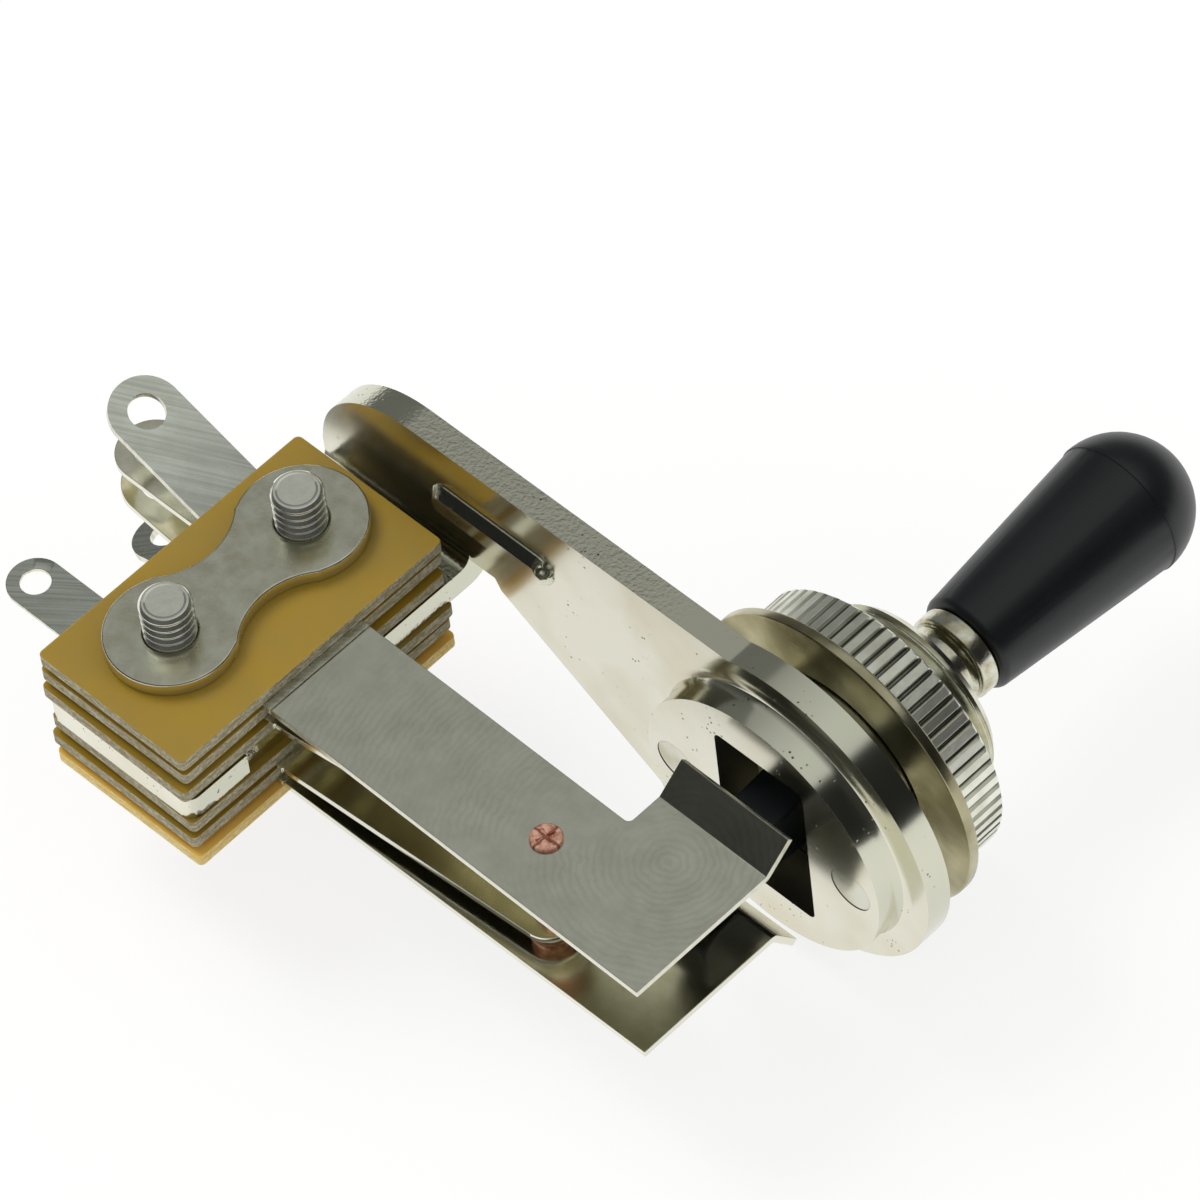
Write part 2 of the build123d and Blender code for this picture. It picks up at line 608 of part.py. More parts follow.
def make_inner_blade(z, side, lug_angle):
    """Inner blade in one piece: solder lug, clamped root and the tapered leaf."""
    contact_x, contact_y = contact_spot(side)
    length = contact_x - HINGE_X
    slope = inner_slope(z, side)
    y1 = BLADE_Y1 + INNER_SIDE_SETBACK
    y2 = BLADE_Y2 - INNER_SIDE_SETBACK
    root_edge = Polyline([(0, y1), (0, y2), (INNER_START_L, y2), (INNER_START_L, y1)], close=True)
    end = CenterArc((length, contact_y), INNER_END_R, 0, 360)
    outline = make_hull(root_edge.edges() + end.edges())
    leaf = Pos(0, 0, -BLADE_T / 2) * extrude(outline, BLADE_T)
    edge = Pos(0, (y1 + y2) / 2, 0) * Rot(90, 0, 0) * Cylinder(BLADE_T / 2, y2 - y1)
    leaf = Pos(HINGE_X, 0, side * z) * Rot(0, side * slope, 0) * (leaf + edge)
    body = blade_root(side * z) + solder_lug(side * z, lug_angle) + leaf
    joint = Pos(HINGE_X - BLADE_T, (y1 + y2) / 2, side * z) * Box(2 * BLADE_T, y2 - y1, BLADE_T)
    body = body + joint
    return body - rod_z(CONTACT_SHANK_R + FIT_CLEARANCE, contact_x, contact_y, -CUT_REACH, CUT_REACH)


def contact_spot(side):
    """Where the contact pair of the upper or the lower side sits."""
    if side > 0:
        return UPPER_CONTACT_X, UPPER_CONTACT_Y
    return LOWER_CONTACT_X, LOWER_CONTACT_Y


def outer_leaf_z(z, x):
    """Height of the middle of an outer leaf above the centre plane."""
    return z + (BLADE_FRONT_Z - z) * (x - HINGE_X) / (BLADE_END_X - HINGE_X)


def make_contact(side, mid_z, slope, head_out, head_h):
    """Contact rivet square to its blade: head, shank and a peened tail with a cross-shaped dent."""
    x, y = contact_spot(side)
    half = BLADE_T / 2
    rivet = Pos(0, 0, half + head_h / 2) * Cylinder(CONTACT_HEAD_R, head_h)
    rivet = chamfer(rivet.edges().group_by(Axis.Z)[-1], head_h * CONTACT_CROWN_SHARE)
    rivet = rivet + Cylinder(CONTACT_SHANK_R, BLADE_T)
    tail = Pos(0, 0, -half - CONTACT_TAIL_H / 2) * Cylinder(CONTACT_TAIL_R, CONTACT_TAIL_H)
    rivet = rivet + chamfer(tail.edges().group_by(Axis.Z)[0], CONTACT_TAIL_EDGE)
    for turn in (0, 90):
        dent = Pos(0, 0, -half - CONTACT_TAIL_H) * Rot(0, 0, turn + CONTACT_CROSS_TURN) * Box(
            CONTACT_CROSS_L, CONTACT_CROSS_W, CONTACT_TAIL_H)
        rivet = rivet - dent
    if not head_out:
        rivet = Rot(180, 0, 0) * rivet
    if side < 0:
        rivet = Rot(180, 0, 0) * rivet
    return Pos(x, y, side * mid_z) * Rot(0, side * slope, 0) * rivet


def make_clamp_plate():
    """Figure-eight plate that both screws are threaded into."""
    pitch = SCREW_Y2 - SCREW_Y1
    mid_y = (SCREW_Y1 + SCREW_Y2) / 2
    lobes = Pos(0, pitch / 2) * Circle(CLAMP_LOBE_R) + Pos(0, -pitch / 2) * Circle(CLAMP_LOBE_R)
    outline = lobes + Rectangle(2 * (CLAMP_LOBE_R - CLAMP_BAR_INSET), pitch)
    # The flank circle touches the waist and both lobes.
    reach = (pitch ** 2 / 4 + CLAMP_WAIST_W ** 2 / 4 - CLAMP_LOBE_R ** 2)
    flank_r = reach / (2 * (CLAMP_LOBE_R - CLAMP_WAIST_W / 2))
    for flank in (-1, 1):
        centre_x = flank * (CLAMP_WAIST_W / 2 + flank_r)
        cut = Pos(centre_x, 0) * Circle(flank_r)
        outline = outline - cut
    plate = Pos(SCREW_X, mid_y, STACK_TOP_Z) * extrude(outline, CLAMP_T)
    for y in SCREW_YS:
        plate = plate - rod_z(SCREW_R + FIT_CLEARANCE, SCREW_X, y, -CUT_REACH, CUT_REACH)
    return plate


def make_screw(y):
    """Slotted screw whose thread stands out above the clamp plate."""
    core = SCREW_R - SCREW_THREAD_DEPTH
    head_z = STACK_LOW_Z - SCREW_HEAD_H
    points = [
        (0, head_z),
        (SCREW_HEAD_R * SCREW_CROWN_SHARE, head_z),
        (SCREW_HEAD_R * SCREW_SHOULDER_SHARE, head_z + SCREW_HEAD_H / 4),
        (SCREW_HEAD_R, head_z + SCREW_HEAD_H * 2 / 3),
        (SCREW_HEAD_R, STACK_LOW_Z),
        (SCREW_R, STACK_LOW_Z),
        (SCREW_R, STACK_TOP_Z + CLAMP_T),
    ]
    first = STACK_TOP_Z + CLAMP_T
    turns = int((SCREW_END_Z - SCREW_END_CHAMFER - first) / SCREW_PITCH)
    for i in range(turns):
        z = first + i * SCREW_PITCH
        points.append((SCREW_R, z + 0.12 * SCREW_PITCH))
        points.append((core, z + 0.45 * SCREW_PITCH))
        points.append((core, z + 0.6 * SCREW_PITCH))
        points.append((SCREW_R, z + 0.93 * SCREW_PITCH))
    points.append((SCREW_R, SCREW_END_Z - SCREW_END_CHAMFER))
    points.append((SCREW_R - SCREW_END_CHAMFER, SCREW_END_Z))
    points.append((0, SCREW_END_Z))
    outline = make_face(Polyline(points, close=True))
    screw = Rot(90, 0, 0) * revolve(outline, Axis.Y)
    slot = Pos(0, 0, head_z) * Box(3 * SCREW_HEAD_R, SCREW_SLOT_W, 2 * SCREW_SLOT_DEPTH)
    return Pos(SCREW_X, y, 0) * (screw - slot)


def make_sleeve(y):
    """Insulating sleeve that keeps a screw clear of the blades."""
    tube = rod_z(SLEEVE_R, SCREW_X, y, STACK_LOW_Z + SLEEVE_SETBACK, STACK_TOP_Z - SLEEVE_SETBACK)
    return tube - rod_z(SLEEVE_BORE_R, SCREW_X, y, -CUT_REACH, CUT_REACH)


def make_ground_lug():
    """Thin lug on the tongue that grounds the frame, held by one screw."""
    z = TONGUE_Z + GROUND_T / 2
    lug = solder_lug(z, 0, GROUND_LUG_W, GROUND_LUG_Y, GROUND_REACH, GROUND_HOLE_R, GROUND_T)
    ring = rod_z(GROUND_RING_R, SCREW_X, SCREW_Y1, z - GROUND_T / 2, z + GROUND_T / 2)
    neck_l = SCREW_X - SHEET_BACK_X
    neck = Pos(SHEET_BACK_X + neck_l / 2, GROUND_LUG_Y, z) * Box(neck_l, GROUND_LUG_W, GROUND_T)
    lug = lug + ring + neck
    return lug - rod_z(SLEEVE_R + FIT_CLEARANCE, SCREW_X, SCREW_Y1, -CUT_REACH, CUT_REACH)


def contact_head_height(z, side):
    """Head height that leaves the two closed contacts a hair apart."""
    contact_x, contact_y = contact_spot(side)
    between = outer_leaf_z(z, contact_x) - INNER_END_Z - BLADE_T
    return (between - CONTACT_GAP) / 2


def make_outer_contact(z, side):
    """Rivet of an outer leaf, its head towards the inner blade."""
    mid_z = outer_leaf_z(z, contact_spot(side)[0])
    return make_contact(side, mid_z, outer_slope(z), False, contact_head_height(z, side))


def make_inner_contact(z, outer_z, side):
    """Rivet of an inner blade, its head towards the outer leaf."""
    height = contact_head_height(outer_z, side)
    return make_contact(side, INNER_END_Z, inner_slope(z, side), True, height)


def build_nodes():
    """Every separate piece under its node name."""
    sheet_levels = [
        STACK_TOP_Z - SHEET_T,
        UPPER_INNER_Z + BLADE_T / 2,
        TONGUE_Z + GROUND_T,
        -TONGUE_Z - SHEET_T,
        LOWER_INNER_Z - BLADE_T / 2 - SHEET_T,
        STACK_LOW_Z,
    ]
    nodes = {
        "frame": make_frame(),
        "bushing": make_bushing(),
        "washer": make_washer(),
        "knurled_nut": make_nut(),
        "pivot_pin": make_pivot_pin(),
        "lever": make_lever(),
        "actuator": make_actuator(),
        "lever_tip": make_lever_tip(),
        "upper_outer_leaf": make_outer_leaf(UPPER_OUTER_Z, 1, UPPER_TAB_RUN, UPPER_TAB_ANGLE),
        "lower_outer_leaf": make_outer_leaf(-LOWER_OUTER_Z, -1, LOWER_TAB_RUN, LOWER_TAB_ANGLE),
        "upper_outer_lug": make_outer_lug(UPPER_OUTER_Z, 1, UPPER_OUTER_LUG_ANGLE),
        "lower_outer_lug": make_outer_lug(-LOWER_OUTER_Z, -1, LOWER_OUTER_LUG_ANGLE),
        "upper_inner_blade": make_inner_blade(UPPER_INNER_Z, 1, 0),
        "lower_inner_blade": make_inner_blade(-LOWER_INNER_Z, -1, LOWER_INNER_LUG_ANGLE),
        "upper_outer_contact": make_outer_contact(UPPER_OUTER_Z, 1),
        "lower_outer_contact": make_outer_contact(-LOWER_OUTER_Z, -1),
        "upper_inner_contact": make_inner_contact(UPPER_INNER_Z, UPPER_OUTER_Z, 1),
        "lower_inner_contact": make_inner_contact(-LOWER_INNER_Z, -LOWER_OUTER_Z, -1),
        "clamp_plate": make_clamp_plate(),
        "clamp_screws": Compound(children=[make_screw(y) for y in SCREW_YS]),
        "screw_sleeves": Compound(children=[make_sleeve(y) for y in SCREW_YS]),
        "ground_lug": make_ground_lug(),
    }
    for index, low_z in enumerate(sheet_levels):
        nodes[f"insulator_{index + 1}"] = make_insulator(index, low_z)
    return nodes


os.makedirs("parts", exist_ok=True)
for name, drawn in build_nodes().items():
    moved = [Pos(0, -ORIGIN_Y, 0) * solid for solid in drawn.solids()]
    shape = moved[0] if len(moved) == 1 else Compound(children=moved)
    export_step(shape, f"parts/{name}.step")
    print(name, len(moved), round(shape.volume, 3))
print("pivot", PIVOT_Y - ORIGIN_Y, "hinges", HINGE_X, UPPER_OUTER_Z, LOWER_OUTER_Z)
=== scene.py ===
import bpy
import bmesh
import math
import numpy as np
from mathutils import Matrix, Vector


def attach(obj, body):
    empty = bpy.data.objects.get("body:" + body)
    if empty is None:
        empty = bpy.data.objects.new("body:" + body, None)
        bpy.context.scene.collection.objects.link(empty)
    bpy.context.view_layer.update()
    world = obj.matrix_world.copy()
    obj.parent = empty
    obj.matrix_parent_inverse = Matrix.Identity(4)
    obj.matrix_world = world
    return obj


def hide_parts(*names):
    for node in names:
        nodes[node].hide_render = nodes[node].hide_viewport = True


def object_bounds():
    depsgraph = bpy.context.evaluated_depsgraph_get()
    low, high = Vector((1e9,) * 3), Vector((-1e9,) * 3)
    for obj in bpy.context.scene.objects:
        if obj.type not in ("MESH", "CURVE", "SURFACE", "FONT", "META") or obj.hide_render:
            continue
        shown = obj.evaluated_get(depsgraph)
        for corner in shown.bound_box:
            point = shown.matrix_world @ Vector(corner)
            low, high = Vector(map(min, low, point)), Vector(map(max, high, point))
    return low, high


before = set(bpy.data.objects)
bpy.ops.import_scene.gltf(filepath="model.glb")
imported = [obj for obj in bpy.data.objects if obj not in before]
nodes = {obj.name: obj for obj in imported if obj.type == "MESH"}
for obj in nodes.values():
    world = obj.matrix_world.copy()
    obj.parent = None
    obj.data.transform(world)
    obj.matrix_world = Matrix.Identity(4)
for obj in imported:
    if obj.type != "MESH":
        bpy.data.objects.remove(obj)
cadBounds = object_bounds()
scene = bpy.context.scene
print("frame loaded:", len(nodes), "nodes")

cutBand = (0.85, 0.6)   # how far a normal points along a sheet's axis: rolled face, then cut edge
ofColours = {"out": 2, "data_type": "RGBA"}   # a Mix node of colours takes sockets 6 and 7, and gives 2


def linear(hexColour):
    # sRGB hex to linear: c / 12.92 under 0.04045, else ((c + 0.055) / 1.055) ** 2.4
    parts = [int(hexColour[i:i + 2], 16) / 255 for i in (1, 3, 5)]
    return tuple(c / 12.92 if c <= 0.04045 else ((c + 0.055) / 1.055) ** 2.4 for c in parts) + (1.0,)


def perMm(size):
    return 1000.0 / size   # texture scale that gives a feature of this many millimetres


def span(ends, side="From"):
    return {side + " Min": ends[0], side + " Max": ends[1]}   # the two ends of a Map Range


def addNode(tree, kind, inputs=None, out=0, **settings):
    # one node with its settings and links; gives back one of its output sockets
    node = tree.nodes.new("ShaderNode" + kind)
    for name, value in settings.items():
        setattr(node, name, value)
    for key, value in (inputs or {}).items():
        if isinstance(value, bpy.types.NodeSocket):
            tree.links.new(value, node.inputs[key])
        else:
            node.inputs[key].default_value = value
    return node.outputs[out] if len(node.outputs) else None


def startFinish(name):
    material = bpy.data.materials.new(name)
    material.use_nodes = True
    material.node_tree.nodes.clear()
    return material, material.node_tree, addNode(material.node_tree, "TexCoord", out="Object")


def endFinish(material, tree, shaderInputs):
    shader = addNode(tree, "BsdfPrincipled", shaderInputs)
    addNode(tree, "OutputMaterial", {"Surface": shader})
    return material


def cutEdge(tree, axis):
    # 0 on the rolled faces of a sheet whose faces point along axis, 1 on its cut edges
    normal = addNode(tree, "NewGeometry", out="Normal")
    part = addNode(tree, "SeparateXYZ", {0: normal}, "XYZ".index(axis))
    size = addNode(tree, "Math", {0: part}, operation="ABSOLUTE")
    return addNode(tree, "MapRange", {"Value": size, **span(cutBand)})


# In the looks below, a Size or Spacing is in millimetres and a Depth, Reach or place in metres.
# A Band is where a pattern's value starts to show, and where it shows in full.
# Frame: real pits and shear grain are about half this size, and are drawn coarser so that they show.
stampedLook = {
    # the slot wall colour is painted shade for the inside of the slot
    "face": "#e9e7d7", "stain": "#dfdac4", "edge": "#d3d3c1", "pit": "#6f6a55", "slotWallRoughAndPaintedShade": "#77736a",
    "cloudSize": 5.0, "cloudBand": (0.4, 0.7),
    "pitSpacing": 0.42, "pitBand": (0.2, 0.1), "crowdSize": 2.2, "crowdBand": (0.56, 0.66),
    "scarSize": 1.6, "scarBand": (0.64, 0.68), "pitDepth": 0.00003,
    "grainSize": 0.2, "grainDepth": 0.00003, "waveSize": 6.0, "waveDepth": 0.00003,
    "tongueBand": (-0.015, -0.017), "armBand": (-0.006, -0.01), "slotReach": 0.0081, "slotBlend": 0.0001,
    "faceRoughness": 0.19, "edgeRoughness": 0.15, "slotRoughness": 0.45}


def nickelOnStampedSteel(look):
    # stamped steel under bright nickel: a soft mirror on the faces, a few pits and scars, and a
    # rough bright rim where the tool sheared the edge
    material, tree, place = startFinish("nickelOnStampedSteel")
    edge = cutEdge(tree, "Y")
    x, y = [addNode(tree, "SeparateXYZ", {0: place}, i) for i in (0, 1)]

    cloud = addNode(tree, "TexNoise", {"Vector": place, "Scale": perMm(look["cloudSize"]), "Detail": 2.0})
    cloudy = addNode(tree, "MapRange", {"Value": cloud, **span(look["cloudBand"])})
    face = addNode(tree, "Mix", {0: cloudy, 6: linear(look["face"]), 7: linear(look["stain"])}, **ofColours)
    colour = addNode(tree, "Mix", {0: edge, 6: face, 7: linear(look["edge"])}, **ofColours)

    # pits lie in crowds anywhere, larger scars only along the cut edges of the tongue
    cells = addNode(tree, "TexVoronoi", {"Vector": place, "Scale": perMm(look["pitSpacing"])})
    holes = addNode(tree, "MapRange", {"Value": cells, **span(look["pitBand"])})
    crowd = addNode(tree, "TexNoise", {"Vector": place, "Scale": perMm(look["crowdSize"]), "Detail": 1.0})
    crowded = addNode(tree, "MapRange", {"Value": crowd, **span(look["crowdBand"])})
    pits = addNode(tree, "Math", {0: holes, 1: crowded}, operation="MULTIPLY")
    scar = addNode(tree, "TexNoise", {"Vector": place, "Scale": perMm(look["scarSize"]), "Detail": 2.0})
    scars = addNode(tree, "MapRange", {"Value": scar, **span(look["scarBand"])})
    onTongue = addNode(tree, "MapRange", {"Value": y, **span(look["tongueBand"])})
    scars = addNode(tree, "Math", {0: scars, 1: onTongue}, operation="MULTIPLY")
    scars = addNode(tree, "Math", {0: scars, 1: edge}, operation="MULTIPLY")
    pits = addNode(tree, "Math", {0: pits, 1: scars}, operation="MAXIMUM")
    colour = addNode(tree, "Mix", {0: pits, 6: colour, 7: linear(look["pit"])}, **ofColours)

    # the walls of the slot are rougher than the rest, and their darker colour is painted shade inside the
    # slot
    around = addNode(tree, "VectorMath", {0: place, 1: (1.0, 0.0, 1.0)}, operation="MULTIPLY")
    fromAxis = addNode(tree, "VectorMath", {0: around}, "Value", operation="LENGTH")
    slotBand = (look["slotReach"] + look["slotBlend"], look["slotReach"])
    inSlot = addNode(tree, "MapRange", {"Value": fromAxis, **span(slotBand)})
    slotWallRoughAndPaintedShade = addNode(tree, "Math", {0: inSlot, 1: edge}, operation="MULTIPLY")
    colour = addNode(tree, "Mix", {0: slotWallRoughAndPaintedShade, 6: colour, 7: linear(look["slotWallRoughAndPaintedShade"])}, **ofColours)

    # the arm's sheared edge is torn and grainy, the round head's is smooth
    grain = addNode(tree, "TexNoise", {"Vector": place, "Scale": perMm(look["grainSize"]), "Detail": 2.0})
    onArm = addNode(tree, "MapRange", {"Value": x, **span(look["armBand"])})
    torn = addNode(tree, "Math", {0: onArm, 1: edge}, operation="MULTIPLY")
    tornGrain = addNode(tree, "Math", {0: grain, 1: torn}, operation="MULTIPLY")
    wave = addNode(tree, "TexNoise", {"Vector": place, "Scale": perMm(look["waveSize"]), "Detail": 1.0})
    bump = addNode(tree, "Bump", {"Height": pits, "Distance": look["pitDepth"], "Strength": 0.5}, invert=True)
    bump = addNode(tree, "Bump", {
        "Height": tornGrain, "Distance": look["grainDepth"], "Strength": 0.7, "Normal": bump})
    bump = addNode(tree, "Bump", {
        "Height": wave, "Distance": look["waveDepth"], "Strength": 0.5, "Normal": bump})
    roughness = addNode(tree, "Mix", {0: edge, 2: look["faceRoughness"], 3: look["edgeRoughness"]})
    roughness = addNode(tree, "Mix", {0: slotWallRoughAndPaintedShade, 2: roughness, 3: look["slotRoughness"]})
    return endFinish(material, tree, {
        "Base Color": colour, "Metallic": 1.0, "Roughness": roughness, "Normal": bump})


# Bushing, washer, nut and lever: a lathe tool leaves rings about 0.03 mm apart, too fine to show,
# so they are drawn 0.12 mm apart or more.
turnedLook = {
    "name": "nickelOnTurnedBrass", "bright": "#dcdccd", "dull": "#c6c2a8",
    "smearSize": 1.6, "smearBand": (0.4, 0.72), "roughBand": (0.3, 0.8), "roughness": (0.16, 0.26),
    "ringSize": 0.12, "ringSqueeze": 0.04, "ringDepth": 0.000008, "dentSize": 0.5, "dentDepth": 0.000012,
    # the groove colour is painted shade for the bottom of the knurl's grooves
    "groove": "#2f2d25", "grooveRadius": 0.0, "grooveBlend": 0.00008, "grooveShade": 0.0}
# the washer's dark olive patches are a painted reflection, laid in random patches over the nickel
washerPaintedReflectionLook = dict(turnedLook, name="nickelWasherPaintedReflection", bright="#c9c4a6", dull="#7b7250", smearSize=4.5,
                  roughness=(0.2, 0.3), ringSize=0.3)
nutLook = dict(turnedLook, name="nickelOnKnurledBrass", bright="#f1f2e5", roughness=(0.36, 0.46),
               dull="#dcdccb", dentDepth=0.00004, grooveRadius=0.00845, grooveShade=0.75)
leverLook = dict(turnedLook, name="nickelOnTurnedLever", dull="#b3a880", smearSize=0.9,
                 roughness=(0.18, 0.28), dentDepth=0.00003)


def nickelOnTurnedBrass(look):
    # brass turned on a lathe and nickel plated: bright, with fine rings left around the axis, and painted
    # shade darkening the bottom of the knurl's grooves
    material, tree, place = startFinish(look["name"])
    smear = addNode(tree, "TexNoise", {"Vector": place, "Scale": perMm(look["smearSize"]), "Detail": 3.0})
    smeared = addNode(tree, "MapRange", {"Value": smear, **span(look["smearBand"])})
    colour = addNode(tree, "Mix", {
        0: smeared, 6: linear(look["bright"]), 7: linear(look["dull"])}, **ofColours)

    around = addNode(tree, "VectorMath", {0: place, 1: (1.0, 0.0, 1.0)}, operation="MULTIPLY")
    fromAxis = addNode(tree, "VectorMath", {0: around}, "Value", operation="LENGTH")
    grooveBand = (look["grooveRadius"], look["grooveRadius"] - look["grooveBlend"])
    # painted shade: darker towards the bottom of the knurl's grooves
    paintedGrooveShade = addNode(tree, "MapRange", {
        "Value": fromAxis, **span(grooveBand), **span((0.0, look["grooveShade"]), "To")})
    paintedGrooveShade = addNode(tree, "Math", {0: paintedGrooveShade, 1: cutEdge(tree, "Y")}, operation="MULTIPLY")
    colour = addNode(tree, "Mix", {0: paintedGrooveShade, 6: colour, 7: linear(look["groove"])}, **ofColours)

    squeezed = addNode(tree, "Mapping", {
        "Vector": place, "Scale": (look["ringSqueeze"], 1.0, look["ringSqueeze"])})
    rings = addNode(tree, "TexNoise", {"Vector": squeezed, "Scale": perMm(look["ringSize"]), "Detail": 2.0})
    dents = addNode(tree, "TexNoise", {"Vector": place, "Scale": perMm(look["dentSize"]), "Detail": 3.0})
    bump = addNode(tree, "Bump", {"Height": rings, "Distance": look["ringDepth"], "Strength": 0.5})
    bump = addNode(tree, "Bump", {
        "Height": dents, "Distance": look["dentDepth"], "Strength": 0.5, "Normal": bump})
    roughness = addNode(tree, "MapRange", {
        "Value": smear, **span(look["roughBand"]), **span(look["roughness"], "To")})
    return endFinish(material, tree, {
        "Base Color": colour, "Metallic": 1.0, "Roughness": roughness, "Normal": bump})


# Leaves, blades, lugs and clamp plate: strokeTurn is in degrees, and a stroke is strokeLength times as
# long as wide. The lugs' real strokes are about 0.05 mm wide, too fine to show, so they are drawn 0.2 mm.
stripLook = {
    "name": "satinNickelSilver", "face": "#dbdccd", "mottle": "#d1d2c0", "edge": "#e8e6d6",
    "shade": "#9a9b8c", "mottleSize": 1.3, "mottleBand": (0.35, 0.7), "roughBand": (0.3, 0.8),
    "roughness": (0.3, 0.38), "rubCentre": (-0.0004, -0.0171, 0.0), "rubSpacing": 0.42,
    "rubBand": (0.3, 0.9), "rubShade": 0.13, "rubDepth": 0.0000008, "waveSize": 5.0,
    "waveDepth": 0.00002, "patchBand": (0.35, 0.6), "strokeSize": 0.12, "strokeTurn": 0.0,
    "strokeLength": 1.0, "strokeBand": (0.4, 0.62), "strokeShade": 0.0, "strokeDepth": 0.000008}
bladeLook = dict(stripLook, name="brightNickelSilver", face="#eae7d5", mottle="#d6d3bb",
                 roughness=(0.12, 0.2), rubShade=0.0, rubDepth=0.0, strokeDepth=0.000001)
lugLook = dict(stripLook, name="brushedNickelSilver", face="#d9ddd3", mottle="#d3d6cb",
               roughness=(0.24, 0.32), rubShade=0.0, rubDepth=0.0, strokeSize=0.2, strokeTurn=37.0,
               strokeLength=45.0, strokeShade=0.36, strokeDepth=0.00002)
clampLook = dict(stripLook, name="nickelOnPressedPlate", face="#dfe1cf", mottle="#cdc9b2",
                 roughness=(0.22, 0.3), rubShade=0.0, rubDepth=0.0)


def nickelSilverStrip(look):
    # rolled nickel silver: satin faces with rub marks or brush strokes, brighter sheared edges
    material, tree, place = startFinish(look["name"])
    edge = cutEdge(tree, "Z")
    mottle = addNode(tree, "TexNoise", {
        "Vector": place, "Scale": perMm(look["mottleSize"]), "Detail": 4.0, "Roughness": 0.6})
    mottled = addNode(tree, "MapRange", {"Value": mottle, **span(look["mottleBand"])})
    face = addNode(tree, "Mix", {0: mottled, 6: linear(look["face"]), 7: linear(look["mottle"])}, **ofColours)
    colour = addNode(tree, "Mix", {0: edge, 6: face, 7: linear(look["edge"])}, **ofColours)

    strokePlace = addNode(tree, "Mapping", {
        "Vector": place, "Rotation": (0.0, 0.0, math.radians(look["strokeTurn"])),
        "Scale": (look["strokeLength"], 1.0, look["strokeLength"])}, vector_type="TEXTURE")
    strokes = addNode(tree, "TexNoise", {
        "Vector": strokePlace, "Scale": perMm(look["strokeSize"]), "Detail": 2.0})
    streaks = addNode(tree, "MapRange", {
        "Value": strokes, **span(look["strokeBand"]), **span((0.0, look["strokeShade"]), "To")})
    colour = addNode(tree, "Mix", {0: streaks, 6: colour, 7: linear(look["shade"])}, **ofColours)

    # swirls left by a polishing cloth, in patches; at scale 1 the wave's rings lie pi / 10 apart
    fromCentre = addNode(tree, "Mapping", {"Vector": place, "Location": [-c for c in look["rubCentre"]]})
    rubs = addNode(tree, "TexWave", {
        "Vector": fromCentre, "Scale": perMm(look["rubSpacing"]) * math.pi / 10, "Distortion": 5.0,
        "Detail": 2.0, "Detail Scale": 1.5}, 1, wave_type="RINGS", rings_direction="Z")
    rubbed = addNode(tree, "MapRange", {
        "Value": rubs, **span(look["rubBand"]), **span((0.0, look["rubShade"]), "To")})
    wave = addNode(tree, "TexNoise", {"Vector": place, "Scale": perMm(look["waveSize"]), "Detail": 1.0})
    patches = addNode(tree, "MapRange", {"Value": wave, **span(look["patchBand"])})
    rubbed = addNode(tree, "Math", {0: rubbed, 1: patches}, operation="MULTIPLY")
    colour = addNode(tree, "Mix", {0: rubbed, 6: colour, 7: linear(look["shade"])}, **ofColours)

    bump = addNode(tree, "Bump", {"Height": rubs, "Distance": look["rubDepth"], "Strength": 0.5})
    bump = addNode(tree, "Bump", {
        "Height": strokes, "Distance": look["strokeDepth"], "Strength": 0.5, "Normal": bump})
    bump = addNode(tree, "Bump", {
        "Height": wave, "Distance": look["waveDepth"], "Strength": 0.4, "Normal": bump})
    roughness = addNode(tree, "MapRange", {
        "Value": mottle, **span(look["roughBand"]), **span(look["roughness"], "To")})
    return endFinish(material, tree, {
        "Base Color": colour, "Metallic": 1.0, "Roughness": roughness, "Normal": bump})


screwLook = {
    "name": "nickelOnScrewSteel", "bright": "#eeefe4", "dull": "#d9dacd", "metallic": 0.93, "roughness": 0.15,
    "screwX": -0.03009, "middleY": -0.01978, "halfSpacing": 0.00497,   # the two screws' axes
    "ringRadius": 0.00105, "ringBlend": 0.00012, "ringDepth": 0.00005, "dentSize": 0.5, "dentDepth": 0.00002}


def nickelOnScrewSteel(look):
    # machine screws and pin under nickel, the screws' sheared ends showing a shallow round ring
    material, tree, place = startFinish(look["name"])
    x, y = [addNode(tree, "SeparateXYZ", {0: place}, i) for i in (0, 1)]
    x = addNode(tree, "Math", {0: x, 1: look["screwX"]}, operation="SUBTRACT")
    y = addNode(tree, "Math", {0: y, 1: look["middleY"]}, operation="SUBTRACT")
    y = addNode(tree, "Math", {0: y}, operation="ABSOLUTE")
    y = addNode(tree, "Math", {0: y, 1: look["halfSpacing"]}, operation="SUBTRACT")
    away = addNode(tree, "CombineXYZ", {0: x, 1: y})
    radius = addNode(tree, "VectorMath", {0: away}, "Value", operation="LENGTH")
    ringBand = (look["ringRadius"], look["ringRadius"] + look["ringBlend"])
    outside = addNode(tree, "MapRange", {"Value": radius, **span(ringBand)})
    dents = addNode(tree, "TexNoise", {"Vector": place, "Scale": perMm(look["dentSize"]), "Detail": 3.0})
    colour = addNode(tree, "Mix", {0: dents, 6: linear(look["bright"]), 7: linear(look["dull"])}, **ofColours)
    bump = addNode(tree, "Bump", {"Height": outside, "Distance": look["ringDepth"], "Strength": 0.7})
    bump = addNode(tree, "Bump", {
        "Height": dents, "Distance": look["dentDepth"], "Strength": 0.5, "Normal": bump})
    return endFinish(material, tree, {
        "Base Color": colour, "Metallic": look["metallic"], "Roughness": look["roughness"], "Normal": bump})


copperLook = {
    "dark": "#b0705a", "light": "#f6c4aa", "cross": "#a3634d", "metallic": 0.7, "roughness": 0.4,
    "blotchSize": 0.4, "blotchBand": (0.35, 0.65), "blotchDepth": 0.00005, "wobble": 0.0004,
    "rivetX": -0.0061, "rivetY": -0.02054, "armWidth": 0.0001, "crossDepth": 0.00005}


